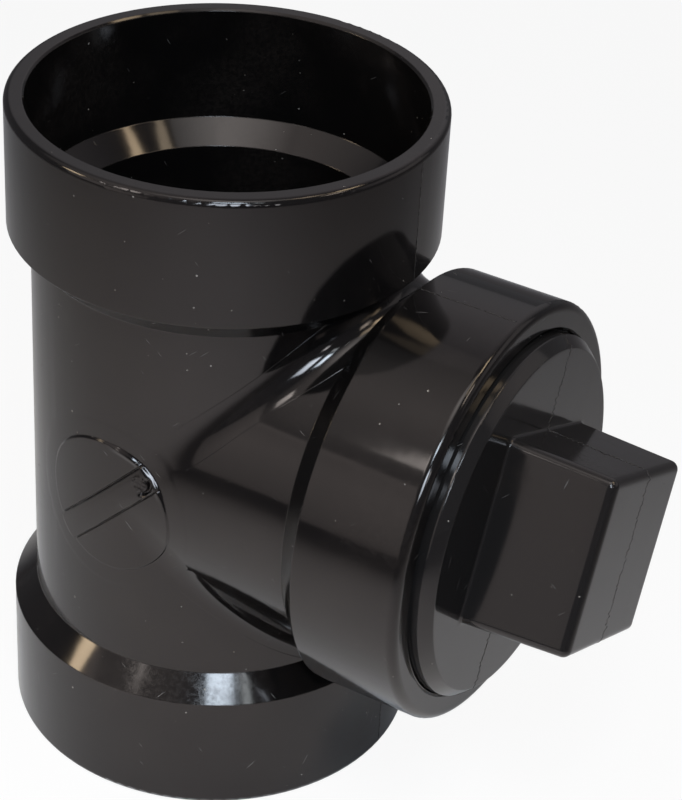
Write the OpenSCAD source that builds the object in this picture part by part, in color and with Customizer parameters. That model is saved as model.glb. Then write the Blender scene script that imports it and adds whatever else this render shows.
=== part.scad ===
// Two-inch drainage cleanout tee, standing on one socket, with its branch to +X.
// The run's axis is Z, and the origin is the centre of the lower socket's mouth.
// The branch leaves at half height and ends in a threaded hub that a square-headed plug closes.

/* [Run] */
// Overall length of the run, from socket mouth to socket mouth
run_length = 111; // [100:0.5:140]
// Bore of both solvent sockets, which take pipe of 60.3 mm
socket_bore = 60.6; // [58:0.1:62]
// Depth of both sockets, from the mouth to the pipe stop
socket_depth = 19; // [16:0.5:24]
// Height of the sloping pipe stop below each socket
stop_height = 3.3; // [2:0.1:5]
// Outside diameter of both socket hubs
hub_diameter = 66.8; // [65.5:0.1:70]
// Length of each socket hub, from the mouth to its shoulder's edge
hub_length = 20.6; // [18:0.1:24]
// Outside diameter of the barrel, and of the branch's neck
barrel_diameter = 59.5; // [58:0.1:62]
// Bore of the waterway through the run and into the branch
waterway_bore = 52.4; // [48:0.1:54]
// Radius on the outer edge of each socket's mouth
mouth_round = 1.0; // [0.4:0.1:1.5]
// Chamfer on the inner edge of each socket's mouth
mouth_lead = 0.35; // [0.2:0.05:0.45]

/* [Branch] */
// Distance from the run's axis to the face of the threaded hub
branch_reach = 52.1; // [50:0.1:60]
// Outside diameter of the threaded hub
branch_hub_diameter = 67.6; // [66:0.1:72]
// Length of the threaded hub, from its face to its shoulder's edge
branch_hub_length = 17.6; // [14:0.1:20]
// Radius on the outer edge of the threaded hub's face
branch_rim_round = 1.4; // [0.6:0.1:2.5]
// Mean diameter of the female thread at the hub's face
thread_diameter = 59.0; // [57:0.1:60]
// Depth of the female thread, from the hub's face
thread_depth = 18.6; // [17:0.1:20]
// Growth of the thread's diameter along its length, one in this many
thread_taper = 16; // [12:1:40]
// Countersink at the mouth of the female thread
thread_lead = 0.4; // [0.2:0.1:1]

/* [Moulded blend] */
// Radius of the blend between barrel and neck, at its widest
blend_radius = 4.2; // [2:0.1:5]
// How far round the barrel the blend reaches, as a share of the barrel's radius
blend_reach = 0.98; // [0.8:0.01:0.98]

/* [Insert mark] */
// Radius of the round mould-insert mark on the barrel, on the side of -Y
mark_radius = 11.4; // [8:0.1:13]
// Distance of the mark's centre from the run's axis, away from the branch
mark_back = 1.2; // [-4:0.1:4]
// Height of the mark's centre below the branch's axis
mark_drop = 2.7; // [-4:0.1:6]
// Height of the mark's disc above the surface of barrel and neck
mark_height = 0.3; // [0.1:0.05:0.5]
// Width of the rib that crosses the disc
rib_width = 4.0; // [2:0.1:6]
// Height of the rib above the disc
rib_height = 0.25; // [0.1:0.05:0.6]
// Width of the groove on each side of the rib
groove_width = 0.35; // [0.2:0.05:0.8]
// Depth of the grooves below the disc
groove_depth = 0.25; // [0.1:0.05:0.5]
// Slope of the rib, upwards to the branch, in degrees
rib_slope = 45; // [0:1:90]
// Radius of the well at the rib's upper end, round the stub of the gate
gate_well_radius = 2.3; // [1.5:0.1:3]
// Depth of the well below the disc
gate_well_depth = 0.5; // [0.3:0.05:0.8]
// Distance from the mark's centre to the stub's centre
gate_distance = 9.2; // [6:0.1:10]
// Radius of the stub, where the gate broke off
gate_stub_radius = 1.2; // [0.6:0.1:1.8]

/* [Plug] */
// Radial gap between the plug's male thread and the female thread
thread_clearance = 0.3; // [0.3:0.05:0.5]
// Length of the plug below the hub's face
plug_depth = 15.5; // [12:0.1:16]
// How far the plug's collar stands out of the hub's face
collar_height = 1.4; // [0.5:0.1:4]
// Bevel from the collar to the plug's face
face_bevel = 1.6; // [0.5:0.1:3]
// Chamfer at the plug's inner end, where the thread starts
plug_lead = 1.0; // [0.5:0.1:2]
// Wall of the plug's hollow skirt
skirt_wall = 3.2; // [2.5:0.1:5]
// Thickness of the plug's disc
disc_thickness = 4.4; // [3:0.1:6]

/* [Square head] */
// Width across the head's flats at its root
head_root = 29.3; // [22:0.1:34]
// Width across the head's flats at its end
head_end = 27.9; // [20:0.1:32]
// Height of the head above the plug's face
head_height = 17.5; // [10:0.1:25]
// Radius on the head's edges
head_round = 1.4; // [0.6:0.1:3]
// Wall of the hollow head
head_wall = 3.6; // [2.5:0.1:6]
// Turn of the head at rest, from the run's axis towards +Y, in degrees
head_turn = 23.5; // [0:0.5:45]

/* [Hidden] */
$fn = 96;

abs_black = [0.06, 0.055, 0.055];

socket_r = socket_bore / 2;
hub_r = hub_diameter / 2;
barrel_r = barrel_diameter / 2;
waterway_r = waterway_bore / 2;
branch_hub_r = branch_hub_diameter / 2;
branch_z = run_length / 2;

// Both kinds of hub fall back to the barrel's radius at 45 degrees
hub_shoulder = hub_r - barrel_r;
branch_shoulder = branch_hub_r - barrel_r;
branch_shoulder_x = branch_reach - branch_hub_length - branch_shoulder;

// Growth of the thread's radius for each millimetre towards the face
thread_slope = 1 / (2 * thread_taper);
thread_r = thread_diameter / 2;
plug_r = thread_r - thread_clearance;

collar_x = branch_reach + collar_height;
face_x = collar_x + face_bevel;
head_x = face_x + head_height;
plug_end_x = branch_reach - plug_depth;
disc_inner_x = face_x - disc_thickness;

blend_stations = 28;
blend_steps = 7;
// The blend's edges run into the walls at this angle, in degrees, and this far
blend_entry = 9;
blend_run_in = blend_radius * 0.31;
// Depth of the blend's hidden spine below the seam, and of its ends
blend_spine = blend_radius * 0.38;
blend_sink = blend_radius / 12;
// How far a cut runs past the solid that it opens
overlap = mouth_round / 2;

function female_r(x) = thread_r - (branch_reach - x) * thread_slope;
function male_r(x) = plug_r - (branch_reach - x) * thread_slope;

// What a radius r takes off a right-angled corner of a profile; sx and sy point out of the corner
module corner_waste(x, y, r, sx, sy) {
    translate([x - sx * r, y - sy * r])
        difference() {
            translate([sx > 0 ? 0 : -r - overlap, sy > 0 ? 0 : -r - overlap]) square(r + overlap);
            circle(r);
        }
}

// Turns a profile of (radius, distance) points about the branch's axis
module turned_about_branch() {
    translate([0, 0, branch_z]) rotate([0, 90, 0]) rotate_extrude() children();
}

// Outside of the run: the barrel with a socket hub and its shoulder at each end
module run_outside() {
    rotate_extrude()
        difference() {
            polygon([
                [0, 0], [hub_r, 0], [hub_r, hub_length],
                [barrel_r, hub_length + hub_shoulder],
                [barrel_r, run_length - hub_length - hub_shoulder],
                [hub_r, run_length - hub_length], [hub_r, run_length], [0, run_length]
            ]);
            corner_waste(hub_r, 0, mouth_round, 1, -1);
            corner_waste(hub_r, run_length, mouth_round, 1, 1);
        }
}

// Lays the mark flat: local X runs along the rib, and local Z out of the barrel
module in_mark_frame() {
    translate([-mark_back, 0, branch_z - mark_drop])
        rotate([90, 0, 0]) rotate([0, 0, rib_slope]) children();
}

// The column of the mark's insert, from the run's axis to well outside the barrel
module mark_column() {
    in_mark_frame() cylinder(h = hub_r, r = mark_radius);
}

// A column along the rib, which crosses the mark from side to side
module rib_column(width) {
    in_mark_frame()
        translate([-hub_r, -width / 2, 0]) cube([2 * hub_r, width, hub_r]);
}

// A round column at the place of the gate
module gate_column(r) {
    in_mark_frame() translate([gate_distance, 0, 0]) cylinder(h = hub_r, r = r);
}

// The two plain cylinders of barrel and neck, grown by a little
module crossed_core(grown) {
    cylinder(h = run_length, r = barrel_r + grown);
    translate([0, 0, branch_z]) rotate([0, 90, 0]) cylinder(h = branch_shoulder_x, r = barrel_r + grown);
}

// The disc that the insert leaves, a little proud of the outside, with a groove on each side of the rib
module insert_disc() {
    difference() {
        intersection() {
            mark_column();
            crossed_core(mark_height);
        }
        difference() {
            rib_column(rib_width + 2 * groove_width);
            crossed_core(mark_height - groove_depth);
            rib_column(rib_width);
        }
    }
}

// The rib across the disc
module insert_rib() {
    intersection() {
        mark_column();
        rib_column(rib_width);
        crossed_core(mark_height + rib_height);
    }
}

// What the gate's well takes off: a ring round the stub, which stays as high as the rib
module gate_well_waste() {
    difference() {
        gate_column(gate_well_radius);
        gate_column(gate_stub_radius);
        crossed_core(mark_height - gate_well_depth);
    }
}

// Inside of the run: two sockets, their sloping pipe stops and the waterway between them
module run_inside() {
    lower_stop = socket_depth + stop_height;
    rotate_extrude()
        polygon([
            [0, -overlap], [socket_r + mouth_lead + overlap, -overlap], [socket_r, mouth_lead],
            [socket_r, socket_depth], [waterway_r, lower_stop],
            [waterway_r, run_length - lower_stop], [socket_r, run_length - socket_depth],
            [socket_r, run_length - mouth_lead],
            [socket_r + mouth_lead + overlap, run_length + overlap], [0, run_length + overlap]
        ]);
}

// Outside of the branch: a neck as wide as the barrel, a shoulder and the threaded hub
module branch_outside() {
    turned_about_branch()
        difference() {
            polygon([
                [0, 0], [barrel_r, 0], [barrel_r, branch_shoulder_x],
                [branch_hub_r, branch_reach - branch_hub_length],
                [branch_hub_r, branch_reach], [0, branch_reach]
            ]);
            corner_waste(branch_hub_r, branch_reach, branch_rim_round, 1, 1);
        }
}

// Inside of the branch: the waterway, then the tapered thread with its countersunk mouth
module branch_inside() {
    thread_end_x = branch_reach - thread_depth;
    turned_about_branch()
        polygon([
            [0, 0], [waterway_r, 0], [waterway_r, thread_end_x],
            [female_r(thread_end_x), thread_end_x],
            [female_r(branch_reach - thread_lead), branch_reach - thread_lead],
            [thread_r + thread_lead + overlap, branch_reach + overlap],
            [0, branch_reach + overlap]
        ]);
}

// Section of the blend at the distance y from the middle plane, as points in the XZ plane.
// Barrel and neck are equally wide, so at every y they meet at a right angle at (w, w).
// A ball that rolls in the corner touches them w / barrel_r of its radius away from (w, w).
function blend_section(y) =
    let (
        share = y / (blend_reach * barrel_r),
        seam = sqrt(barrel_r * barrel_r - y * y),
        w = seam - blend_sink * pow(share, 16),
        r = blend_radius * seam / barrel_r,
        arc = [for (i = [0 : blend_steps])
            let (a = blend_entry + (90 - 2 * blend_entry) * i / blend_steps)
            [w + r - r * cos(a), w + r - r * sin(a)]],
        into = [-sin(blend_entry), cos(blend_entry)] * blend_run_in,
        first = arc[0] + into,
        last = arc[blend_steps] + [into[1], into[0]]
    )
    concat([first], arc, [last], [[w - blend_spine, w - blend_spine]]);

// One blend, above the branch: the sections are joined from one side of the tee to the other
module seam_blend() {
    ys = [for (i = [0 : blend_stations]) blend_reach * barrel_r * sin(-90 + 180 * i / blend_stations)];
    sections = [for (y = ys) blend_section(y)];
    n = len(sections[0]);
    points = [for (i = [0 : blend_stations]) for (p = sections[i]) [p[0], ys[i], p[1]]];
    sides = [for (i = [0 : blend_stations - 1]) for (j = [0 : n - 1])
        let (a = i * n + j, b = i * n + (j + 1) % n)
        [[a, b, a + n], [b, b + n, a + n]]];
    ends = [
        [for (j = [0 : n - 1]) n - 1 - j],
        [for (j = [0 : n - 1]) blend_stations * n + j]
    ];
    polyhedron(points, concat([for (pair = sides) for (f = pair) f], ends));
}

// The blend above the branch and its mirror image below
module seam_blends() {
    translate([0, 0, branch_z]) {
        seam_blend();
        mirror([0, 0, 1]) seam_blend();
    }
}

// The tee itself, moulded in one piece
module tee_body() {
    color(abs_black)
        difference() {
            union() {
                run_outside();
                branch_outside();
                seam_blends();
                insert_disc();
                insert_rib();
            }
            gate_well_waste();
            run_inside();
            branch_inside();
        }
}

// Turns the plug's head and its hollow to their angle at rest
module in_head_frame() {
    translate([0, 0, branch_z]) rotate([-head_turn, 0, 0]) children();
}

// A square block along X from x0 to x1, with the widths a and b at its ends and edges of radius r
module square_block(x0, x1, a, b, r) {
    hull()
        for (sy = [-1, 1], sz = [-1, 1]) {
            translate([x0, sy * (a / 2 - r), sz * (a / 2 - r)]) sphere(r, $fn = 32);
            translate([x1 - r, sy * (b / 2 - r), sz * (b / 2 - r)]) sphere(r, $fn = 32);
        }
}

// Turned part of the plug: the tapered male thread, the collar, the bevel and the face
module plug_outside() {
    turned_about_branch()
        polygon([
            [0, plug_end_x], [male_r(plug_end_x) - plug_lead, plug_end_x],
            [male_r(plug_end_x + plug_lead), plug_end_x + plug_lead],
            [plug_r, branch_reach], [plug_r, collar_x],
            [plug_r - face_bevel, face_x], [0, face_x]
        ]);
}

// Hollow of the plug's skirt, open towards the drain
module plug_hollow() {
    turned_about_branch()
        polygon([
            [0, plug_end_x - overlap], [male_r(plug_end_x) - skirt_wall, plug_end_x - overlap],
            [male_r(plug_end_x) - skirt_wall, disc_inner_x], [0, disc_inner_x]
        ]);
}

// The plug, moulded in one piece with its square head, both hollow from behind
module cleanout_plug() {
    color(abs_black)
        difference() {
            union() {
                plug_outside();
                in_head_frame()
                    square_block(disc_inner_x + disc_thickness / 2, head_x, head_root, head_end, head_round);
            }
            plug_hollow();
            in_head_frame()
                translate([disc_inner_x - overlap, 0, 0])
                    rotate([0, 90, 0])
                        linear_extrude(head_x - head_wall - disc_inner_x + overlap)
                            square(head_end - 2 * head_wall, center = true);
        }
}

tee_body();
cleanout_plug();
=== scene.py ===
"""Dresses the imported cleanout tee: its materials, screw threads, moulded details, studio and camera.

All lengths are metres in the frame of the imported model: Z runs up the tee, +X along the branch, and the
origin is the centre of the lower socket's mouth. Sizes on the part are written as a number of MM.
"""

import logging
from dataclasses import dataclass
from enum import Enum

import bpy
import numpy as np
from mathutils import Matrix, Vector


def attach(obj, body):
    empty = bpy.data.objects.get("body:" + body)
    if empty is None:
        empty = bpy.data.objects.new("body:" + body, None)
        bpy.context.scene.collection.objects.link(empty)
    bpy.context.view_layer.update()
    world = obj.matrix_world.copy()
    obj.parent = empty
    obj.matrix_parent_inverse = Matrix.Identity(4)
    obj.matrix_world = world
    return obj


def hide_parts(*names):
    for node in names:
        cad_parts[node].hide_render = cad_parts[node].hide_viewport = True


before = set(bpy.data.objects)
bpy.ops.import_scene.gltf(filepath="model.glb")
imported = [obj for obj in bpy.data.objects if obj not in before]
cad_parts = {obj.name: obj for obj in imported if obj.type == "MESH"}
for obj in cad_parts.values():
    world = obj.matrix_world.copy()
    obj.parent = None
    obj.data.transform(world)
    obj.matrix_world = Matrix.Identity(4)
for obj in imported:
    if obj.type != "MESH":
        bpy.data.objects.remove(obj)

LOG = logging.getLogger("cleanout_tee")
MM = 0.001
X_AXIS, Y_AXIS, Z_AXIS = np.eye(3)
BRANCH_Z = 55.5 * MM
BRANCH_FACE_X = 52.1 * MM
Triple = tuple[float, float, float]


class Body(Enum):
    """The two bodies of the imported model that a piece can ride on."""

    TEE = "tee"
    PLUG = "plug"


class Slot(Enum):
    """The record's material slots."""

    TEE = "tee_plastic"
    PLUG = "plug_plastic"


# Meshes


def smooth_step(t: np.ndarray) -> np.ndarray:
    """Goes from 0 to 1 as t does, level at both ends: 3 t^2 - 2 t^3."""
    t = np.clip(t, 0.0, 1.0)
    return t * t * (3.0 - 2.0 * t)


def uneven(along: np.ndarray, seed: int, longest: float, terms: int = 9) -> np.ndarray:
    """An irregular wave between about -1 and 1: a sum of sines of falling length with seeded phases.

    Args:
        along: Where the wave is read.
        seed: Seed of the phases and lengths.
        longest: The longest of the sines' lengths, in the same unit as `along`.
        terms: Number of sines.

    Returns:
        The wave at each place.
    """
    random = np.random.default_rng(seed)
    lengths = longest / (1.0 + 1.7 * np.arange(terms) * random.uniform(0.7, 1.3, terms))
    phases = random.uniform(0.0, 2 * np.pi, terms)
    waves = np.sin(2 * np.pi * along[..., None] / lengths + phases)
    return waves.sum(axis=-1) / np.sqrt(terms)


def grid_faces(rows: int, cols: int, around: bool) -> np.ndarray:
    """Corner numbers of a grid's quads: (i, j), (i, j + 1), (i + 1, j + 1) and (i + 1, j).

    Args:
        rows: Number of rows of points.
        cols: Number of columns of points.
        around: True if the last column joins the first.

    Returns:
        One row of four point numbers for each quad.
    """
    index = np.arange(rows * cols).reshape(rows, cols)
    if around:
        index = np.concatenate([index, index[:, :1]], axis=1)
    return np.stack([index[:-1, :-1], index[:-1, 1:], index[1:, 1:], index[1:, :-1]], axis=-1).reshape(-1, 4)


def smooth_object(name: str, verts: np.ndarray, quads: np.ndarray, tris: np.ndarray) -> bpy.types.Object:
    """Makes a smooth-shaded mesh object at the origin from whole arrays.

    Args:
        name: Name of the object and of its mesh.
        verts: Points, n x 3, in metres.
        quads: Four-cornered faces.
        tris: Three-cornered faces.

    Returns:
        The linked object.
    """
    mesh = bpy.data.meshes.new(name)
    mesh.vertices.add(len(verts))
    mesh.vertices.foreach_set("co", verts.astype(np.float32).ravel())
    corners = np.concatenate([quads.ravel(), tris.ravel()]).astype(np.int32)
    sizes = np.concatenate([np.full(len(quads), 4), np.full(len(tris), 3)])
    mesh.loops.add(len(corners))
    mesh.loops.foreach_set("vertex_index", corners)
    mesh.polygons.add(len(sizes))
    mesh.polygons.foreach_set("loop_start", np.concatenate([[0], np.cumsum(sizes)[:-1]]).astype(np.int32))
    mesh.polygons.foreach_set("use_smooth", np.ones(len(sizes), dtype=bool))
    mesh.update(calc_edges=True)
    mesh.validate()
    piece = bpy.data.objects.new(name, mesh)
    bpy.context.scene.collection.objects.link(piece)
    return piece


def sheet(name: str, points: np.ndarray, outward: np.ndarray) -> bpy.types.Object:
    """Makes a smooth open sheet from a grid of points.

    Args:
        name: Name of the object.
        points: Rows x columns x 3, in metres.
        outward: A direction that the sheet's middle faces.

    Returns:
        The linked object.
    """
    rows, cols = points.shape[:2]
    quads = grid_faces(rows, cols, around=False)
    i, j = rows // 2, cols // 2
    normal = np.cross(points[i, j + 1] - points[i, j], points[i + 1, j] - points[i, j])
    if normal @ outward < 0:
        quads = quads[:, ::-1]
    return smooth_object(name, points.reshape(-1, 3), quads, np.empty((0, 3), dtype=int))


def closed_grid(name: str, points: np.ndarray) -> bpy.types.Object:
    """Makes a smooth closed surface from a grid whose rows are rings and whose two end rows are points.

    The faces are turned outwards if the enclosed volume, a sum of determinants, comes out negative.

    Args:
        name: Name of the object.
        points: Rings x columns x 3, in metres.

    Returns:
        The linked object.
    """
    inner = points[1:-1]
    rows, cols = inner.shape[:2]
    verts = np.concatenate([inner.reshape(-1, 3), points[:1, 0], points[-1:, 0]])
    quads = grid_faces(rows, cols, around=True)
    ring = np.arange(cols)
    after = np.roll(ring, -1)
    first, last = np.full(cols, rows * cols), np.full(cols, rows * cols + 1)
    top = np.stack([first, after, ring], axis=-1)
    low = np.stack([ring, after, last], axis=-1) + np.array([1, 1, 0]) * (rows - 1) * cols
    tris = np.concatenate([top, low])
    every = np.concatenate([quads[:, [0, 1, 2]], quads[:, [0, 2, 3]], tris])
    if np.linalg.det(verts[every] - verts.mean(axis=0)).sum() < 0:
        quads, tris = quads[:, ::-1], tris[:, ::-1]
    return smooth_object(name, verts, quads, tris)


def swept_tube(name: str, centre: np.ndarray, across: np.ndarray, out: np.ndarray,
               profile: np.ndarray, height: np.ndarray) -> bpy.types.Object:
    """Carries a closed profile along a path: point = centre + u * across + height * v * out.

    Args:
        name: Name of the object.
        centre: Path points, n x 3, in metres.
        across: Unit direction of the profile's u at each path point, n x 3.
        out: Unit direction of the profile's v at each path point, n x 3.
        profile: The profile's (u, v) points in turn, m x 2, in metres.
        height: Factor on the v of each path point, n.

    Returns:
        The linked object, with its two ends closed.
    """
    ring = (centre[:, None, :] + profile[None, :, 0, None] * across[:, None, :]
            + (profile[None, :, 1] * height[:, None])[:, :, None] * out[:, None, :])
    start = np.repeat(ring[:1].mean(axis=1, keepdims=True), len(profile), axis=1)
    end = np.repeat(ring[-1:].mean(axis=1, keepdims=True), len(profile), axis=1)
    return closed_grid(name, np.concatenate([start, ring, end]))


def resampled(corners: np.ndarray, step: float) -> tuple[np.ndarray, np.ndarray, np.ndarray]:
    """Walks along a flat polyline in even steps.

    Args:
        corners: Its corners, n x 2.
        step: Length of a step.

    Returns:
        The distance walked, the points, and the unit direction of travel at each.
    """
    length = np.concatenate([[0.0], np.cumsum(np.linalg.norm(np.diff(corners, axis=0), axis=1))])
    walked = np.linspace(0.0, length[-1], int(length[-1] / step) + 2)
    points = np.stack([np.interp(walked, length, corners[:, k]) for k in range(2)], axis=-1)
    travel = np.gradient(points, axis=0)
    return walked, points, travel / np.linalg.norm(travel, axis=1, keepdims=True)


# The tee


@dataclass(frozen=True)
class Thread:
    """The branch's tapered screw thread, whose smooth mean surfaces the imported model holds."""

    pitch: float = 2.209 * MM
    slope: float = 1 / 32
    female_r: float = 29.5 * MM
    male_r: float = 29.2 * MM

    def cone(self, face_r: float, x: np.ndarray) -> np.ndarray:
        """Radius at x of the cone that is `face_r` in radius at the branch's face and narrows inwards."""
        return face_r - (BRANCH_FACE_X - x) * self.slope


@dataclass(frozen=True)
class Flash:
    """The thin ridge that the joint between a mould's two halves leaves on the plastic."""

    width: float = 0.22 * MM
    height: float = 0.055 * MM
    rough: float = 0.6
    rough_length: float = 6.0 * MM
    least: float = 0.15
    most: float = 3.0
    wobble: float = 0.05 * MM
    wobble_length: float = 9.0 * MM
    fade: float = 1.0 * MM
    end_share: float = 0.1
    step: float = 0.2 * MM
    round_points: int = 7
    seed: int = 5

    def ridge(self, name: str, corners: np.ndarray, to_world: np.ndarray,
              side: np.ndarray) -> bpy.types.Object:
        """Builds the ridge along a flat path, on the left of the direction of travel.

        Its profile is half an ellipse over a foot that stays below the surface. Its height is `height` times
        1 + `rough` * wave, kept between `least` and `most`, and falls to `end_share` of that at both ends.

        Args:
            name: Name of the piece.
            corners: The path's corners in its plane, which holds the branch's axis, n x 2.
            to_world: The plane's two unit directions, 2 x 3.
            side: The plane's unit normal.

        Returns:
            The piece.
        """
        walked, points, travel = resampled(corners, self.step)
        out = np.stack([-travel[:, 1], travel[:, 0]], axis=-1) @ to_world
        wobble = self.wobble * uneven(walked, self.seed + 1, self.wobble_length)
        centre = points @ to_world + np.array([0.0, 0.0, BRANCH_Z]) + wobble[:, None] * side
        turn = np.linspace(0.0, np.pi, self.round_points)
        half = self.width / 2
        top = np.stack([np.cos(turn) * half, np.sin(turn)], axis=-1)
        profile = np.concatenate([top, [[-half, -1.0], [half, -1.0]]])
        rise = np.clip(1 + self.rough * uneven(walked, self.seed, self.rough_length), self.least, self.most)
        ends = smooth_step(walked / self.fade) * smooth_step((walked[-1] - walked) / self.fade)
        height = self.height * rise * (self.end_share + (1 - self.end_share) * ends)
        return swept_tube(name, centre, np.broadcast_to(side, centre.shape), out, profile, height)


@dataclass(frozen=True)
class Crossing:
    """The corner where the barrel meets the equally wide neck, filled by a moulded blend.

    At the distance y from the middle plane the two cylinders meet at (w, w), with w = sqrt(R^2 - y^2).
    """

    barrel_r: float = 29.75 * MM
    blend_radius: float = 4.2 * MM
    softness: float = 3.2
    soft_to: float = 11.0 * MM
    outer_share: float = 1.27

    def radius(self, w: np.ndarray) -> np.ndarray:
        """Reach of the blend at w: blend radius * w / R * (1 + softness * exp(-(w / soft_to)^2))."""
        soft = 1 + self.softness * np.exp(-((w / self.soft_to) ** 2))
        return self.blend_radius * w / self.barrel_r * soft

    def outside(self, x: np.ndarray, z: np.ndarray) -> np.ndarray:
        """Distance of the outer surface from the middle plane, at x and z over the branch's axis.

        Barrel and neck give sqrt(R^2 - x^2) and sqrt(R^2 - z^2), and the larger one counts. Where the two
        are closer than k = outer_share * radius(w) * w / R, the blend adds k * (1 - difference / k)^2 / 4.
        """
        barrel = np.sqrt(self.barrel_r ** 2 - x ** 2)
        neck = np.where(x > 0, np.sqrt(self.barrel_r ** 2 - z ** 2), 0.0)
        w = np.sqrt(np.maximum(x, 0.0) * np.abs(z))
        k = np.maximum(self.outer_share * self.radius(w) * w / self.barrel_r, 1e-9)
        near = np.maximum(k - np.abs(barrel - neck), 0.0) / k
        return np.maximum(barrel, neck) + near ** 2 * k / 4


@dataclass(frozen=True)
class SoftEdge:
    """An edge that falls on a smooth step: it is `width` wide and ends `beyond` its place."""

    beyond: float
    width: float

    def inside(self, place: np.ndarray, away: np.ndarray) -> np.ndarray:
        """Goes from 1 to 0 where `away`, in the same measure, passes the edge's place."""
        return smooth_step((place + self.beyond - away) / self.width)


@dataclass(frozen=True)
class InsertMark:
    """The round mark of a mould insert on the barrel: raised disc, rib between grooves, gate's stub."""

    crossing: Crossing
    back: float = 1.2 * MM
    drop: float = 2.7 * MM
    slope: float = 45.0
    lift: float = 0.03 * MM

    radius: float = 11.4 * MM
    height: float = 0.3 * MM
    disc_edge: SoftEdge = SoftEdge(0.22 * MM, 0.24 * MM)
    lip_from: float = -24.0
    lip_to: float = 44.0
    lip_fade: float = 14.0
    lip_height: float = 0.22 * MM
    lip_ramp: SoftEdge = SoftEdge(0.36 * MM, 0.45 * MM)
    lip_inner: SoftEdge = SoftEdge(-0.1 * MM, 0.9 * MM)

    rib_half: float = 2.0 * MM
    rib_top: float = 0.55 * MM
    rib_crown: float = 0.12 * MM
    rib_edge: SoftEdge = SoftEdge(0.12 * MM, 0.1 * MM)
    rib_end: SoftEdge = SoftEdge(0.3 * MM, 0.28 * MM)
    rib_cut: float = 0.38 * MM
    groove: float = 0.27 * MM
    groove_half: float = 0.1 * MM
    groove_off: float = 0.19 * MM
    groove_soft: tuple[float, float] = (0.1 * MM, 0.08 * MM)

    gate_distance: float = 9.2 * MM
    well_r: float = 2.3 * MM
    well_floor: float = -0.17 * MM
    well_edge: SoftEdge = SoftEdge(0.0, 0.7 * MM)
    well_side: float = -70.0
    stub_r: float = 1.2 * MM
    stub_edge: SoftEdge = SoftEdge(0.35 * MM, 0.45 * MM)
    stub_top: float = 0.07 * MM
    stub_rough: float = 0.2 * MM

    margin: float = 4.5 * MM
    border: SoftEdge = SoftEdge(-0.1 * MM, 1.6 * MM)
    border_sink: float = 0.045 * MM
    cells: int = 306

    def relief(self, along: np.ndarray, over: np.ndarray) -> np.ndarray:
        """Height of the mark's surface over the plain one, built up in turn.

        Args:
            along: Distance from the mark's centre along the rib.
            over: Distance from the rib's middle line.

        Returns:
            The heights: the disc with its edge, grooves, rib, and the gate's well and stub.
        """
        away = np.hypot(along, over)
        angle = np.degrees(np.arctan2(over, along))
        # The insert stands a little askew, so the disc's edge is a higher lip beside the gate
        lip = smooth_step((angle - self.lip_from) / self.lip_fade)
        lip = lip * smooth_step((self.lip_to - angle) / self.lip_fade)
        ramp = np.clip((self.radius + self.lip_ramp.beyond - away) / self.lip_ramp.width, 0.0, 1.0)
        disc = self.disc_edge.inside(self.radius, away) * (1 - lip) + ramp * lip
        raised = self.lip_height * lip * (1 - self.lip_inner.inside(self.radius, away))
        high = (self.height + self.lift + raised) * disc + self.lift / 2 * (1 - disc)

        for side, soft in zip((1.0, -1.0), self.groove_soft):
            off = np.abs(side * over - self.rib_half - self.groove_off)
            high = high - self.groove * SoftEdge(soft, soft).inside(self.groove_half, off) * disc
        sideways = np.abs(over)
        crown = self.rib_crown * smooth_step((1.02 - sideways / self.rib_half) / 0.6)
        rib = self.rib_edge.inside(self.rib_half, sideways)
        rib = rib * self.rib_end.inside(self.radius - self.rib_cut * lip, away)
        high = high + (self.rib_top + self.lift + crown - high) * rib

        from_gate = np.hypot(along - self.gate_distance, over)
        towards = np.degrees(np.arctan2(over, along - self.gate_distance))
        open_side = smooth_step((np.cos(np.radians(towards - self.well_side)) - 0.1) / 0.7)
        well = self.well_edge.inside(self.well_r, from_gate) * open_side
        high = high + (self.well_floor + self.lift - high) * well
        # Two uneven waves across each other make the face where the gate broke off
        broken = uneven(along * 1.3 + over * 0.9, 3, 2.6 * MM)
        broken = np.abs(broken * uneven(over * 1.2 - along * 0.7, 8, 3.1 * MM))
        top = self.rib_top + self.lift + self.stub_top + self.stub_rough * broken
        return high + (top - high) * self.stub_edge.inside(self.stub_r, from_gate)

    def build(self) -> bpy.types.Object:
        """Builds the mark on a disc of cells: a square grid (a, b) drawn round by a * sqrt(1 - b^2 / 2)."""
        side = np.linspace(-1.0, 1.0, self.cells + 1)
        a, b = np.meshgrid(side, side, indexing="ij")
        reach = self.radius + self.margin
        along = reach * a * np.sqrt(1 - b ** 2 / 2)
        over = reach * b * np.sqrt(1 - a ** 2 / 2)
        c, s = np.cos(np.radians(self.slope)), np.sin(np.radians(self.slope))
        x = -self.back + along * c - over * s
        z = -self.drop + along * s + over * c
        sunk = self.border_sink * (1 - self.border.inside(reach, np.hypot(along, over)))
        y = -(self.crossing.outside(x, z) + self.relief(along, over) - sunk)
        return sheet("insert_mark", np.stack([x, y, BRANCH_Z + z], axis=-1), -Y_AXIS)


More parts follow.
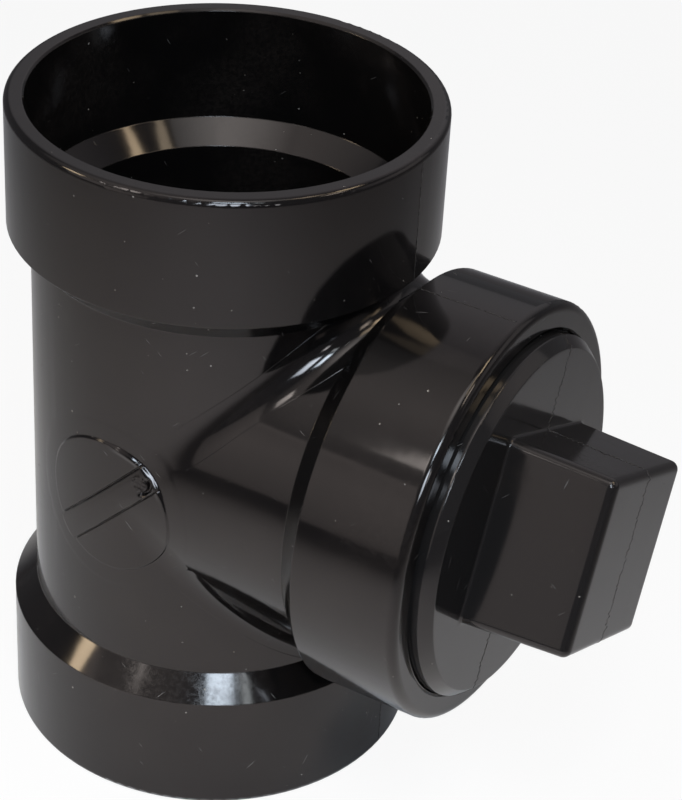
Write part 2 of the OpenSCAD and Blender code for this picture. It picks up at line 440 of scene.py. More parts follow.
@dataclass(frozen=True)
class Blend:
    """One of the two moulded blends in the corners between barrel and neck, as one smooth sheet.

    Where the two cylinders meet at (w, w) it is (w + r - r cos^p a, w + r - r sin^p a), with r = radius(w)
    times `ease`. The power p under 1 bends the curve's ends more softly than a circle's, and `ease` keeps
    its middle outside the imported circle. `side` is 1 above the branch and -1 below it, and the sheet starts
    at `first_w`, beside the insert mark.
    """

    name: str
    side: float
    first_w: float
    crossing: Crossing
    last_w: float = 1.2 * MM
    lift: float = 0.035 * MM
    ease: float = 1.3
    power: float = 0.75
    start_fade: float = 0.8 * MM
    start_sink: float = 0.06 * MM
    trim: float = 0.04
    hem: float = 0.2 * MM
    rows: int = 181
    columns: int = 49

    def build(self) -> bpy.types.Object:
        """Builds the sheet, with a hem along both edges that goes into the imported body."""
        barrel_r = self.crossing.barrel_r
        first, last = np.arcsin(self.first_w / barrel_r), np.pi - np.arcsin(self.last_w / barrel_r)
        turn = np.linspace(first, last, self.rows)
        y, w = -barrel_r * np.cos(turn), barrel_r * np.sin(turn)
        reach = (self.crossing.radius(w) * self.ease)[:, None]
        corner = w[:, None] + reach
        a = np.radians(90.0 * smooth_step(np.linspace(self.trim, 1 - self.trim, self.columns)))
        start = np.where(turn < np.pi / 2, smooth_step((w - self.first_w) / self.start_fade), 1.0)[:, None]
        lift = self.lift * np.sqrt(np.sin(2 * a)) * start - self.start_sink * (1 - start)
        radius = reach - lift
        x = corner - radius * np.cos(a) ** self.power
        z = corner - radius * np.sin(a) ** self.power
        x = np.concatenate([x[:, :1] - self.hem, x, x[:, -1:]], axis=1)
        z = np.concatenate([z[:, :1], z, z[:, -1:] - self.hem], axis=1)
        points = np.stack([x, np.repeat(y[:, None], x.shape[1], axis=1), BRANCH_Z + self.side * z], axis=-1)
        return sheet(self.name, points, np.array([1.0, 0.0, self.side]))


@dataclass(frozen=True)
class HubThread:
    """The female thread's ridges in the branch hub."""

    thread: Thread
    first_x: float = 34.6 * MM
    last_x: float = 51.3 * MM
    steps_a_turn: int = 96
    top_half: float = 0.22 * MM
    root_half: float = 0.9 * MM
    height: float = 0.8 * MM
    foot_half: float = 1.0 * MM
    foot_depth: float = 0.25 * MM
    fade_share: float = 0.05
    end_share: float = 0.02

    def build(self) -> bpy.types.Object:
        """Carries a flat-topped V that stands inwards along a right-handed helix."""
        count = int((self.last_x - self.first_x) / self.thread.pitch * self.steps_a_turn)
        x = np.linspace(self.first_x, self.last_x, count)
        angle = 2 * np.pi * (x / self.thread.pitch - 0.5)
        out = -np.stack([0 * angle, np.cos(angle), np.sin(angle)], axis=-1)
        centre = -out * self.thread.cone(self.thread.female_r, x)[:, None]
        centre += np.stack([x, 0 * x, BRANCH_Z + 0 * x], axis=-1)
        right = np.array([[self.top_half, self.height], [self.root_half, 0.0],
                          [self.foot_half, -self.foot_depth]])
        profile = np.concatenate([right[::-1] * [-1, 1], right])
        share = np.linspace(0.0, 1.0, count)
        ends = smooth_step(share / self.fade_share) * smooth_step((1 - share) / self.fade_share)
        height = self.end_share + (1 - self.end_share) * ends
        along = np.broadcast_to(X_AXIS, out.shape)
        return swept_tube("hub_thread", centre, along, out, profile, height)


@dataclass(frozen=True)
class TeeBody:
    """The fitting itself: one moulding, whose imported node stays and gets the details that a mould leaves."""

    node: str = "tee_body"
    hub_r: float = 33.4 * MM
    hub_length: float = 20.6 * MM
    run_length: float = 111.0 * MM
    branch_hub_r: float = 33.8 * MM
    branch_hub_length: float = 17.6 * MM
    branch_round: float = 1.4 * MM
    mouth_round: float = 1.0 * MM
    upper_blend_w: float = 7.7 * MM
    lower_blend_w: float = 10.4 * MM
    crossing: Crossing = Crossing()
    thread: Thread = Thread()

    def front_outline(self) -> np.ndarray:
        """The middle plane's outline from the mouth to the branch's rim, as (x, z over its axis)."""
        barrel_r, blend_r = self.crossing.barrel_r, self.crossing.blend_radius
        shoulder, branch_shoulder = self.hub_r - barrel_r, self.branch_hub_r - barrel_r
        top = self.run_length / 2
        back = BRANCH_FACE_X - self.branch_hub_length
        arc = np.radians(np.linspace(2.0, 88.0, 12))
        fillet = barrel_r + blend_r * (1 - np.stack([np.cos(arc), np.sin(arc)], axis=-1))
        return np.concatenate([
            [[self.hub_r, top - self.mouth_round], [self.hub_r, top - self.hub_length],
             [barrel_r, top - self.hub_length - shoulder]],
            fillet[fillet[:, 0] < back - branch_shoulder],
            [[back - branch_shoulder, barrel_r + 0.1 * MM], [back, self.branch_hub_r],
             [BRANCH_FACE_X - self.branch_round, self.branch_hub_r]],
        ])

    def back_outline(self) -> np.ndarray:
        """The middle plane's outline up the barrel's back, as (x, z over the branch's axis)."""
        barrel_r = self.crossing.barrel_r
        top = self.run_length / 2 - self.hub_length - (self.hub_r - barrel_r)
        return np.array([[-barrel_r, -top], [-barrel_r, top]])

    def parting_lines(self) -> list[bpy.types.Object]:
        """The flash along the middle plane: two ridges in front, above and below the branch, one behind."""
        flash = Flash()
        # Walked from the mouth to the branch's rim, and up the back, the outline's outside is on the left
        front = self.front_outline()
        up, down = np.stack([X_AXIS, Z_AXIS]), np.stack([X_AXIS, -Z_AXIS])
        return [
            flash.ridge("upper_parting_line", front, up, Y_AXIS),
            flash.ridge("lower_parting_line", front, down, Y_AXIS),
            flash.ridge("back_parting_line", self.back_outline(), up, Y_AXIS),
        ]

    def build(self) -> list[bpy.types.Object]:
        """Builds the tee's own details, which ride on it."""
        pieces = [
            Blend("upper_blend", 1.0, self.upper_blend_w, self.crossing).build(),
            Blend("lower_blend", -1.0, self.lower_blend_w, self.crossing).build(),
            InsertMark(self.crossing).build(),
            HubThread(self.thread).build(),
            *self.parting_lines(),
        ]
        for piece in pieces:
            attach(piece, Body.TEE.value)
        return pieces


# The plug


Row = tuple[float, "np.ndarray | float"]


@dataclass(frozen=True)
class CleanoutPlug:
    """The plug, one closed surface from the head's end to the bottom of the pocket behind it.

    The surface is a list of rows, each with its x and its distance from the branch's axis at every angle.
    """

    node: str = "cleanout_plug"
    head_turn: float = -23.5
    head_x: float = 72.5 * MM
    head_end: float = 13.95 * MM
    head_root: float = 14.65 * MM
    root_x: float = 52.9 * MM
    head_round: float = 1.4 * MM
    root_fillet: float = 0.45 * MM
    face_x: float = 55.1 * MM
    face_r: float = 27.6 * MM
    collar_x: float = 53.5 * MM
    collar_length: float = 0.9 * MM
    edge_round: float = 0.22 * MM
    groove_depth: float = 1.4 * MM
    groove_flank: float = 0.88 * MM
    groove_flat: float = 0.12 * MM
    crest_lift: float = 0.18 * MM
    thread_gap: float = 0.35 * MM
    face_fade: float = 1.6 * MM
    end_fade: float = 1.2 * MM
    end_start: float = 0.5 * MM
    thread_rows: int = 152
    end_x: float = 36.6 * MM
    lead: float = 1.0 * MM
    end_bevel: float = 0.12 * MM
    skirt_inner_r: float = 25.516 * MM
    skirt_round: float = 0.3 * MM
    disc_x: float = 50.7 * MM
    disc_fillet: float = 1.0 * MM
    pocket: float = 10.35 * MM
    pocket_x: float = 69.0 * MM
    pocket_corner: float = 0.8 * MM
    pocket_round: float = 0.3 * MM
    columns: int = 384
    corner_density: float = 5.0
    corner_width: float = 3.2
    thread: Thread = Thread()
    flash: Flash = Flash(width=0.34 * MM, height=0.05 * MM, rough=0.5, wobble=0.36 * MM,
                         wobble_length=12.0 * MM, step=0.1 * MM, seed=21)

    def angles(self) -> np.ndarray:
        """Angles of the grid's columns in the head's own frame, closer together at its four corners."""
        fine = np.linspace(0.0, 2 * np.pi, 20001)
        off_corner = np.abs((fine % (np.pi / 2)) - np.pi / 4)
        density = 1.0 + self.corner_density * np.exp(-((off_corner / np.radians(self.corner_width)) ** 2))
        total = np.concatenate([[0.0], np.cumsum((density[1:] + density[:-1]) / 2)])
        return np.interp(np.linspace(0.0, total[-1], self.columns, endpoint=False), total, fine)

    @staticmethod
    def square_reach(angle: np.ndarray, half: float, corner: float) -> np.ndarray:
        """Distance from the centre to a rounded square's outline at each angle.

        On a side it is half / cos(phi), with phi the angle from that side's middle. On a corner it is the
        far root of the circle of radius `corner` about (half - corner, half - corner).

        Args:
            angle: Angles from the middle of one side.
            half: Half of the square's width.
            corner: Radius on its corners.

        Returns:
            The distances.
        """
        phi = np.abs(((angle + np.pi / 4) % (np.pi / 2)) - np.pi / 4)
        side = half / np.cos(phi)
        core = half - corner
        inner = np.maximum(corner ** 2 - core ** 2 * (1 - np.sin(2 * phi)), 0.0)
        arc = core * (np.cos(phi) + np.sin(phi)) + np.sqrt(inner)
        return np.where(half * np.tan(phi) > core, arc, side)

    @staticmethod
    def arc_rows(x: float, r: float, radius: float, degrees: tuple[float, float], count: int) -> list[Row]:
        """Rows on an arc about (x, r), at x + radius sin a and r + radius cos a for a in `degrees`."""
        turn = np.radians(np.linspace(*degrees, count))
        return [(x + radius * np.sin(a), r + radius * np.cos(a)) for a in turn]

    def head_rows(self, angle: np.ndarray) -> list[Row]:
        """The head: its end, its rounded edge, its four sides and the small fillet at its root."""
        r, f = self.head_round, self.root_fillet
        flat = self.square_reach(angle, self.head_end - r, 0.0)
        rows = [(self.head_x, flat * k) for k in (0.0, 0.25, 0.5, 0.75, 0.96, 1.0)]
        for a in np.radians(np.linspace(80.0, 0.0, 9)):
            off = r * (1 - np.cos(a))
            reach = self.square_reach(angle, self.head_end - off, r - off)
            rows.append((self.head_x - r * (1 - np.sin(a)), reach))
        low = self.face_x + f
        stations = np.linspace(self.head_x - r, low, 8)[1:]
        halves = np.interp(stations, [self.root_x, self.head_x - r], [self.head_root, self.head_end])
        rows += [(x, self.square_reach(angle, half, r)) for x, half in zip(stations, halves)]
        for a in np.radians(np.linspace(15.0, 90.0, 6)):
            grown = f * (1 - np.cos(a))
            rows.append((low - f * np.sin(a), self.square_reach(angle, halves[-1] + grown, r + grown)))
        return rows

    def face_rows(self, root: np.ndarray) -> list[Row]:
        """The face from the head's root outwards, its bevel with two rounded edges, the collar's side."""
        e = self.edge_round
        tangent = e * np.tan(np.radians(22.5))
        edge, collar_r = self.face_r - tangent, self.thread.male_r
        side = np.linspace(BRANCH_FACE_X + self.collar_length, BRANCH_FACE_X, 3)
        return [
            *[(self.face_x, root + (edge - root) * k) for k in (0.1, 0.35, 0.65, 0.95, 1.0)],
            *self.arc_rows(self.face_x - e, edge, e, (80.0, 45.0), 4),
            *self.arc_rows(self.collar_x - tangent, collar_r - e, e, (45.0, 0.0), 5),
            *[(x, collar_r) for x in side],
        ]

    def male_thread_rows(self, angle: np.ndarray) -> list[Row]:
        """The male thread: at each row the radius is the cone's, less a V groove that follows the helix.

        The groove's depth is D * (1 - (u - flat) / W), limited to 0..D, with u the distance along the axis
        to the nearest groove's middle and W the width of a flank. It fades out at the thread's ends.
        """
        t = self.thread
        world = angle + np.radians(self.head_turn)
        first, last = self.end_x + self.lead, BRANCH_FACE_X - self.thread_gap
        rows: list[Row] = []
        for x in np.linspace(last, first, self.thread_rows):
            turns = x / t.pitch - world / (2 * np.pi) - 0.5
            off = np.abs((turns + 0.5) % 1.0 - 0.5) * t.pitch
            fade = smooth_step((last - x) / self.face_fade)
            fade = fade * smooth_step((x - first + self.end_start) / self.end_fade)
            cut = np.clip(1 - (off - self.groove_flat) / self.groove_flank, 0.0, 1.0)
            crest = t.cone(t.male_r + self.crest_lift * fade, x)
            rows.append((x, crest - cut * self.groove_depth * fade))
        return rows

    def hollow_rows(self, angle: np.ndarray) -> list[Row]:
        """The inner end, the hollow skirt, the disc's back and the pocket in the head."""
        inner_r, fillet = self.skirt_inner_r, self.disc_fillet
        corner, lip = self.pocket_corner, self.pocket_round
        end_r = self.thread.cone(self.thread.male_r, self.end_x) - self.lead
        edge = inner_r - fillet
        rim = self.square_reach(angle, self.pocket + lip, corner + lip)
        rows: list[Row] = [
            (self.end_x + self.end_bevel, end_r + self.end_bevel),
            (self.end_x, end_r - 0.15 * MM),
            (self.end_x, inner_r + self.skirt_round),
            *self.arc_rows(self.end_x + self.skirt_round, inner_r + self.skirt_round, -self.skirt_round,
                           (70.0, 0.0), 4),
            *[(x, inner_r) for x in np.linspace(self.end_x + fillet, self.disc_x - fillet, 5)],
            *self.arc_rows(self.disc_x - fillet, edge, fillet, (15.0, 90.0), 6),
            *[(self.disc_x, edge + (rim - edge) * k) for k in (0.3, 0.65, 0.95, 1.0)],
        ]
        for a in np.radians(np.linspace(25.0, 90.0, 4)):
            shift = lip * (1 - np.sin(a))
            reach = self.square_reach(angle, self.pocket + shift, corner + shift)
            rows.append((self.disc_x + lip * (1 - np.cos(a)), reach))
        wall = self.square_reach(angle, self.pocket, corner)
        floor = self.square_reach(angle, self.pocket - corner, 0.0)
        return [
            *rows,
            *[(x, wall) for x in np.linspace(self.disc_x + 1.0 * MM, self.pocket_x - corner, 5)],
            (self.pocket_x - 0.25 * MM, wall + (floor - wall) * 0.3),
            *[(self.pocket_x, floor * k) for k in (1.0, 0.6, 0.3, 0.0)],
        ]

    def shell(self) -> bpy.types.Object:
        """The plug as one grid of rows and angles, closed at both poles."""
        angle = self.angles()
        head = self.head_rows(angle)
        rows = [*head, *self.face_rows(head[-1][1]), *self.male_thread_rows(angle), *self.hollow_rows(angle)]
        x = np.array([row[0] for row in rows])
        reach = np.stack([np.broadcast_to(row[1], angle.shape) for row in rows])
        world = angle + np.radians(self.head_turn)
        points = np.stack([
            np.repeat(x[:, None], len(angle), axis=1),
            reach * np.cos(world),
            BRANCH_Z + reach * np.sin(world),
        ], axis=-1)
        return closed_grid("plug", points)

    def parting_line(self) -> bpy.types.Object:
        """The flash in the plug's own middle plane, from the collar over face and head to the collar."""
        r, collar_r = self.head_round, self.thread.male_r
        arc = np.radians(np.linspace(0.0, 85.0, 8))
        half = np.concatenate([
            [[BRANCH_FACE_X + 0.2 * MM, collar_r], [self.collar_x, collar_r], [self.face_x, self.face_r],
             [self.face_x, self.head_root + 0.3 * MM],
             [self.face_x + 0.35 * MM, self.head_root - 0.05 * MM]],
            np.stack([self.head_x - r + r * np.sin(arc), self.head_end - r + r * np.cos(arc)], axis=-1),
        ])
        corners = np.concatenate([half, (half * [1, -1])[::-1]])
        turn = np.radians(-self.head_turn)
        up = np.array([0.0, np.sin(turn), np.cos(turn)])
        side = np.array([0.0, np.cos(turn), -np.sin(turn)])
        return self.flash.ridge("plug_parting_line", corners, np.stack([X_AXIS, up]), side)

    def build(self) -> list[bpy.types.Object]:
        """Builds the plug's pieces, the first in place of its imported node."""
        pieces = [self.shell(), self.parting_line()]
        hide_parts(self.node)
        for piece in pieces:
            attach(piece, Body.PLUG.value)
        return pieces


# Finishes


@dataclass(frozen=True)
class Nodes:
    """Adds nodes to a tree and wires them in one call."""

    tree: bpy.types.NodeTree

    def add(self, kind: str, **values: object) -> bpy.types.Node:
        """Adds a node.

        Args:
            kind: The node's type, without its ShaderNode prefix.
            values: Settings of the node by name, or of an input by its name with spaces as underscores. An
                output socket as a value is linked.

        Returns:
            The node.
        """
        node = self.tree.nodes.new(kind if kind.startswith("Node") else "ShaderNode" + kind)
        plain = {key: value for key, value in values.items() if hasattr(node, key)}
        for key, value in plain.items():
            setattr(node, key, value)
        for key, value in values.items():
            if key not in plain:
                self.feed(node, key.replace("_", " "), value)
        return node

    def feed(self, node: bpy.types.Node, name: str, value: object) -> None:
        """Links an output to an input, or sets the input's value.

        Args:
            node: The node that has the input.
            name: The input's name, or i and its number.
            value: An output socket, or a plain value.
        """
        socket = node.inputs[int(name[1:])] if name[1:].isdigit() and name[0] == "i" else node.inputs[name]
        if isinstance(value, bpy.types.NodeSocket):
            self.tree.links.new(value, socket)
        else:
            socket.default_value = value

    def math(self, operation: str, a: object, b: object = 0.0, clamp: bool = False) -> bpy.types.NodeSocket:
        """Adds a Math node on the inputs a and b, and gives its output. `clamp` keeps that from 0 to 1."""
        return self.add("Math", operation=operation, use_clamp=clamp, i0=a, i1=b).outputs[0]

    def remap(self, value: object, low: float, high: float, to_low: object = 0.0,
              to_high: object = 1.0) -> bpy.types.NodeSocket:
        """Maps low..high to to_low..to_high on a smooth step, level outside it, and gives the output."""
        node = self.add("MapRange", interpolation_type="SMOOTHSTEP", clamp=True)
        for name, each in (("Value", value), ("From Min", low), ("From Max", high), ("To Min", to_low),
                           ("To Max", to_high)):
            self.feed(node, name, each)
        return node.outputs["Result"]

    def colours(self, share: object, a: object, b: object) -> bpy.types.NodeSocket:
        """Mixes the colours a and b, sockets or three numbers each, by the share of the second."""
        first, second = (each if isinstance(each, bpy.types.NodeSocket) else (*each, 1.0) for each in (a, b))
        return self.add("Mix", data_type="RGBA", i0=share, i6=first, i7=second).outputs[2]


@dataclass(frozen=True)
class MouldedSkin:
    """The shared look of glossy moulded plastic that has been handled, as one node group.

    The heights go into the bump: slow waves of the skin, a fine grain, scratches and dust.
    """

    wave_height: float = 0.026 * MM
    grain_height: float = 0.0004 * MM
    scratch_depth: float = 0.008 * MM
    speck_height: float = 0.03 * MM
    speck_size: float = 0.1
    speck_share: float = 0.3
    scratch_share: float = 0.0012
    scratch_cells: float = 9000.0
    edge_radius: float = 0.25 * MM

    def build(self) -> bpy.types.NodeTree:
        """Builds the group: masks for dust, haze, scratches and edges, and the height and normal for bump.

        Returns:
            The group.
        """
        tree = bpy.data.node_groups.new("moulded_skin", "ShaderNodeTree")
        n = Nodes(tree)
        place = n.add("TexCoord").outputs["Object"]
        specks = self.specks(n, place)
        haze = self.haze(n, place)
        scratches = self.scratches(n, place)

        waves = n.add("TexNoise", Vector=place, Scale=130.0, Detail=2.0, Roughness=0.45).outputs["Fac"]
        grain = n.add("TexNoise", Vector=place, Scale=2600.0, Detail=2.0, Roughness=0.6).outputs["Fac"]
        height = n.math("MULTIPLY", waves, self.wave_height)
        for mask, rise in ((grain, self.grain_height), (scratches, -self.scratch_depth),
                           (specks, self.speck_height)):
            height = n.math("ADD", height, n.math("MULTIPLY", mask, rise))

        # Edges: where the normal that is averaged over the edge radius leaves the surface's own
        rounded = n.add("Bevel", samples=6, Radius=self.edge_radius).outputs[0]
        own = n.add("NewGeometry").outputs["Normal"]
        facing = n.add("VectorMath", operation="DOT_PRODUCT", i0=rounded, i1=own).outputs["Value"]
        edge = n.remap(facing, 0.9, 0.995, 1.0, 0.0)

        results = {"Specks": specks, "Haze": haze, "Scratches": scratches, "Height": height, "Edge": edge,
                   "Normal": rounded}
        for name in results:
            kind = "NodeSocketVector" if name == "Normal" else "NodeSocketFloat"
            tree.interface.new_socket(name, in_out="OUTPUT", socket_type=kind)
        n.add("NodeGroupOutput", **results)
        return tree

    def specks(self, n: Nodes, place: bpy.types.NodeSocket) -> bpy.types.NodeSocket:
        """Mask of the dust: a grain of its own size in a share of the cells of a Voronoi pattern."""
        cells = n.add("TexVoronoi", Vector=place, Scale=700.0, Randomness=1.0, feature="F1")
        tone = n.add("SeparateColor", Color=cells.outputs["Color"]).outputs
        chosen = n.math("LESS_THAN", tone[0], self.speck_share)
        size = n.math("MULTIPLY", self.speck_size, n.math("ADD", 0.25, n.math("POWER", tone[1], 3.0)))
        return n.math("MULTIPLY", chosen, n.math("LESS_THAN", cells.outputs["Distance"], size))

    @staticmethod
    def haze(n: Nodes, place: bpy.types.NodeSocket) -> bpy.types.NodeSocket:
        """Mask of the haze from handling, in broad patches with a finer grain in them."""
        broad = n.add("TexNoise", Vector=place, Scale=42.0, Detail=4.0, Roughness=0.62).outputs["Fac"]
        fine = n.add("TexNoise", Vector=place, Scale=1500.0, Detail=3.0, Roughness=0.7).outputs["Fac"]
        return n.math("MULTIPLY", n.remap(broad, 0.42, 0.72), n.remap(fine, 0.35, 0.65, 0.25, 1.0))

    def scratches(self, n: Nodes, place: bpy.types.NodeSocket) -> bpy.types.NodeSocket:
        """Mask of short straight scratches: the surface cuts a few of a Voronoi pattern's flat cells."""
        found: bpy.types.NodeSocket | float = 0.0
        for turn, wide in (((0.4, 0.9, 0.2), 420.0), ((1.3, -0.5, 1.1), 600.0), ((-0.8, 0.3, 2.0), 350.0)):
            turned = n.add("Mapping", vector_type="TEXTURE", Vector=place, Rotation=turn,
                           Scale=(1 / self.scratch_cells, 1 / wide, 1 / wide)).outputs[0]
            cells = n.add("TexVoronoi", Vector=turned, Scale=1.0, Randomness=1.0, feature="F1")
            tone = n.add("SeparateColor", Color=cells.outputs["Color"]).outputs
            chosen = n.math("LESS_THAN", tone[0], self.scratch_share)
            plate = n.math("MULTIPLY", chosen, n.remap(cells.outputs["Distance"], 0.22, 0.42, 1.0, 0.0))
            found = n.math("MAXIMUM", plate, found)
        return found


@dataclass(frozen=True)
class MouldedBlack:
    """Glossy black moulded plastic with dust, haze, scratches and paler edges."""

    name: str
    colour: Triple = (0.0034, 0.0031, 0.0032)
    hazed: Triple = (0.0105, 0.0088, 0.0082)
    worn: Triple = (0.020, 0.017, 0.015)
    dust: Triple = (0.20, 0.185, 0.17)
    scratched: Triple = (0.085, 0.08, 0.078)
    sheen: Triple = (1.0, 0.9, 0.88)
    gloss: float = 0.085
    hazed_gloss: float = 0.2
    marked_gloss: float = 0.4
    refraction: float = 1.5

    def material(self, skin: bpy.types.NodeTree) -> bpy.types.Material:
        """Builds the material.

        Args:
            skin: The shared group.

        Returns:
            The material.
        """
        made, n = plain_material(self.name)
        out = n.add("Group", node_tree=skin).outputs
        colour = n.colours(out["Haze"], self.colour, self.hazed)
        colour = n.colours(out["Edge"], colour, self.worn)
        colour = n.colours(out["Scratches"], colour, self.scratched)
        colour = n.colours(out["Specks"], colour, self.dust)
        rough = n.remap(out["Haze"], 0.0, 1.0, self.gloss, self.hazed_gloss)
        marked = n.math("MAXIMUM", out["Specks"], out["Scratches"])
        rough = n.math("ADD", rough, n.math("MULTIPLY", marked, self.marked_gloss), clamp=True)
        bump = n.add("Bump", Strength=1.0, Distance=1.0, Height=out["Height"], Normal=out["Normal"])
        shader = n.add("BsdfPrincipled", Base_Color=colour, Roughness=rough, Normal=bump.outputs[0],
                       IOR=self.refraction, Specular_Tint=(*self.sheen, 1.0))
        n.add("OutputMaterial", Surface=shader.outputs[0])
        return made


def plain_material(name: str) -> tuple[bpy.types.Material, Nodes]:
    """Makes a material whose node tree is empty, and gives it with the builder of its tree."""
    made = bpy.data.materials.new(name)
    made.use_nodes = True
    made.node_tree.nodes.clear()
    return made, Nodes(made.node_tree)


def dress(piece: bpy.types.Object, material: bpy.types.Material) -> None:
    """Gives a piece, new or packed, one material in place of all that it has."""
    piece.data.materials.clear()
    piece.data.materials.append(material)


# Studio and camera


def away_from(azimuth: float, elevation: float) -> Vector:
    """The unit direction of an azimuth, counted from +X towards +Y, and an elevation, in degrees."""
    a, e = np.radians(azimuth), np.radians(elevation)
    return Vector((np.cos(e) * np.cos(a), np.cos(e) * np.sin(a), np.sin(e)))


@dataclass(frozen=True)
class Lamp:
    """A soft rectangular lamp, placed by its direction from the object. Its angles are in degrees."""

    name: str
    azimuth: float
    elevation: float
    width: float
    height: float
    radiance: float
    colour: Triple = (1.0, 1.0, 1.0)
    distance: float = 0.6
    spread: float = 48.0
    aim: Triple = (0.01, -0.06, 0.01)
    lights_floor: bool = True
    reflects: bool = True

    def build(self, centre: Vector, floor: bpy.types.Collection) -> None:
        """Makes the lamp.

        A narrow spread gathers the lamp's power about its axis, by tan h / (tan h - h) for the half spread
        h, so the power is divided by that.

        Args:
            centre: The point that its direction is measured from.
            floor: The collection that a lamp which doesn't light the floor leaves out.
        """
        half = np.radians(self.spread / 2)
        gathered = np.tan(half) / (np.tan(half) - half)
        data = bpy.data.lights.new(self.name, "AREA")
        data.shape = "RECTANGLE"
        data.size, data.size_y = self.width, self.height
        data.spread = 2 * half
        data.energy = self.radiance * np.pi * self.width * self.height / gathered
        data.color = self.colour
        lamp = bpy.data.objects.new(self.name, data)
        bpy.context.scene.collection.objects.link(lamp)
        lamp.location = centre + away_from(self.azimuth, self.elevation) * self.distance
        lamp.rotation_euler = (lamp.location - Vector(self.aim)).to_track_quat("Z", "Y").to_euler()
        lamp.visible_glossy = self.reflects
        if not self.lights_floor:
            lamp.light_linking.receiver_collection = floor


@dataclass(frozen=True)
class Studio:
    """A plain white floor under soft lamps, in an even grey surround."""

    centre: Triple = (0.02, 0.0, 0.055)
    floor_half: float = 3.0
    floor_colour: Triple = (0.88, 0.84, 0.83)
    seen_white: float = 0.92
    sky: Triple = (0.13, 0.13, 0.14)
    lamps: tuple[Lamp, ...] = (
        Lamp("key_lamp", -55.0, 49.5, 0.13, 0.08, 34.0, (0.68, 0.86, 1.0)),
        Lamp("low_key_lamp", -53.0, 31.0, 0.17, 0.13, 25.0, (0.72, 0.87, 1.0)),
        Lamp("thin_lamp", -38.0, 48.0, 0.035, 0.09, 8.0, (0.8, 0.95, 1.0)),
        Lamp("side_lamp", -30.0, 25.0, 0.05, 0.06, 12.0, (0.9, 0.97, 1.0)),
        Lamp("gold_lamp", 31.0, 59.0, 0.12, 0.09, 9.0, (1.0, 0.84, 0.56)),
        Lamp("gold_side_lamp", 8.0, 67.0, 0.13, 0.09, 4.5, (1.0, 0.88, 0.64)),
        Lamp("back_gold_lamp", -141.0, 32.0, 0.1, 0.11, 16.0, (1.0, 0.84, 0.56)),
        Lamp("left_lamp", -110.0, 45.0, 0.09, 0.09, 8.0, (1.0, 1.0, 0.96)),
        Lamp("rim_lamp", 5.0, 47.0, 0.1, 0.1, 6.0, (1.0, 0.92, 0.78)),
        Lamp("over_lamp", -72.0, 71.0, 0.46, 0.36, 2.7, (0.98, 1.0, 0.98), aim=(0.01, -0.1, 0.0)),
        Lamp("fill_lamp", -116.0, 15.0, 0.5, 0.38, 0.85, (1.0, 0.95, 0.91), spread=90.0, lights_floor=False),
        Lamp("dome_lamp", -130.0, 60.0, 1.25, 1.0, 0.8, (1.0, 0.96, 0.92), distance=0.9, spread=84.0,
             lights_floor=False),
        Lamp("back_fill_lamp", 104.0, 44.0, 1.3, 1.2, 0.5, (1.0, 0.96, 1.0), distance=0.95, spread=84.0,
             lights_floor=False),
        Lamp("right_fill_lamp", 35.0, 24.0, 0.5, 0.3, 0.45, (1.0, 0.97, 0.95), spread=90.0),
        Lamp("pool_lamp", -61.0, 58.0, 0.1, 0.1, 54.0, (1.0, 0.97, 0.95), spread=44.0,
             aim=(0.015, -0.1, 0.0), reflects=False),
    )

    def floor(self) -> bpy.types.Object:
        """Makes the floor: a diffuse white that keeps the shadow, mixed with plain white for the camera."""
        mesh = bpy.data.meshes.new("floor")
        h = self.floor_half
        mesh.from_pydata([(-h, -h, 0), (h, -h, 0), (h, h, 0), (-h, h, 0)], [], [(0, 1, 2, 3)])
        floor = bpy.data.objects.new("floor", mesh)
        bpy.context.scene.collection.objects.link(floor)
        made, n = plain_material("white_floor")
        seen = n.math("MULTIPLY", n.add("LightPath").outputs["Is Camera Ray"], self.seen_white)
        lit = n.add("BsdfDiffuse", Color=(*self.floor_colour, 1.0)).outputs[0]
        white = n.add("Emission", Color=(1.0, 1.0, 1.0, 1.0), Strength=1.0).outputs[0]
        mixed = n.add("MixShader", i0=seen, i1=lit, i2=white)
        n.add("OutputMaterial", Surface=mixed.outputs[0])
        dress(floor, made)
        return floor

    def surround(self) -> None:
        """Makes the world."""
        world = bpy.data.worlds.new("studio_world")
        bpy.context.scene.world = world
        world.use_nodes = True
        world.node_tree.nodes.clear()
        n = Nodes(world.node_tree)
        n.add("OutputWorld", Surface=n.add("Background", Color=(*self.sky, 1.0), Strength=1.0).outputs[0])

    def build(self) -> None:
        """Makes the floor, the world and the lamps."""
        unlit = bpy.data.collections.new("floor_without_fill")
        unlit.objects.link(self.floor())
        unlit.collection_objects[0].light_linking.link_state = "EXCLUDE"
        self.surround()
        for lamp in self.lamps:
            lamp.build(Vector(self.centre), unlit)


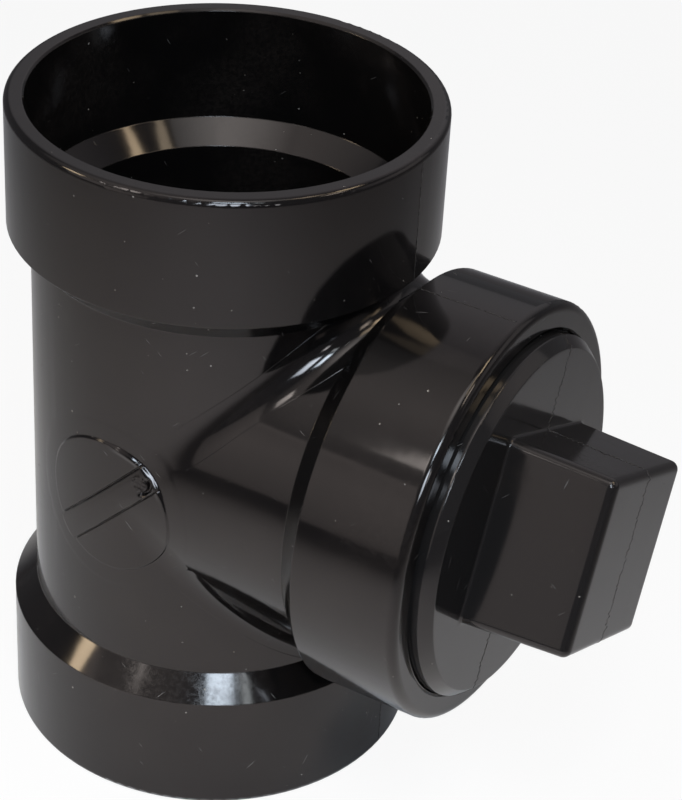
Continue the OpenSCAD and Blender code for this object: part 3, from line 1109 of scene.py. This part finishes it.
@dataclass(frozen=True)
class PhotoCamera:
    """The camera at the photograph's viewing angle, for a frame of 682 x 800 pixels.

    It looks against the direction of `azimuth` and `elevation`, rolled by `roll`, all in degrees.
    """

    place: Triple = (0.17879, -0.28080, 0.27472)
    azimuth: float = -60.869
    elevation: float = 33.132
    roll: float = 3.4526
    lens: float = 111.034
    sensor: float = 36.0
    clip: tuple[float, float] = (0.01, 20.0)

    def build(self) -> None:
        """Makes the scene's camera."""
        data = bpy.data.cameras.new("photo_camera")
        data.lens, data.sensor_width = self.lens, self.sensor
        data.clip_start, data.clip_end = self.clip
        camera = bpy.data.objects.new("photo_camera", data)
        bpy.context.scene.collection.objects.link(camera)
        back = away_from(self.azimuth, self.elevation)
        level = Vector((-back.y, back.x, 0.0)).normalized()
        upright = back.cross(level)
        r = np.radians(self.roll)
        right = level * np.cos(r) + upright * np.sin(r)
        turn = Matrix((right, back.cross(right), back)).transposed()
        camera.matrix_world = Matrix.Translation(self.place) @ turn.to_4x4()
        bpy.context.scene.camera = camera


def main() -> None:
    """Builds the dressed tee, the studio and the camera, in order."""
    logging.basicConfig(level=logging.INFO, format="%(name)s: %(message)s")
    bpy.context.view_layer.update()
    bpy.context.scene.view_settings.view_transform = "Standard"

    PhotoCamera().build()
    Studio().build()
    skin = MouldedSkin().build()
    tee_black = MouldedBlack("tee_black").material(skin)
    plug_black = MouldedBlack("plug_black", colour=(0.0085, 0.0080, 0.0082), gloss=0.11,
                              hazed_gloss=0.26).material(skin)
    flash_black = MouldedBlack("flash_black", colour=(0.03, 0.028, 0.027), hazed=(0.034, 0.031, 0.03),
                               gloss=0.26, hazed_gloss=0.4).material(skin)

    tee = TeeBody()
    dress(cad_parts[tee.node], tee_black)
    for sub_assembly, material in ((tee, tee_black), (CleanoutPlug(), plug_black)):
        for piece in sub_assembly.build():
            dress(piece, flash_black if piece.name.endswith("parting_line") else material)
            LOG.info("%s: %d faces", piece.name, len(piece.data.polygons))


if __name__ == "__main__":
    main()
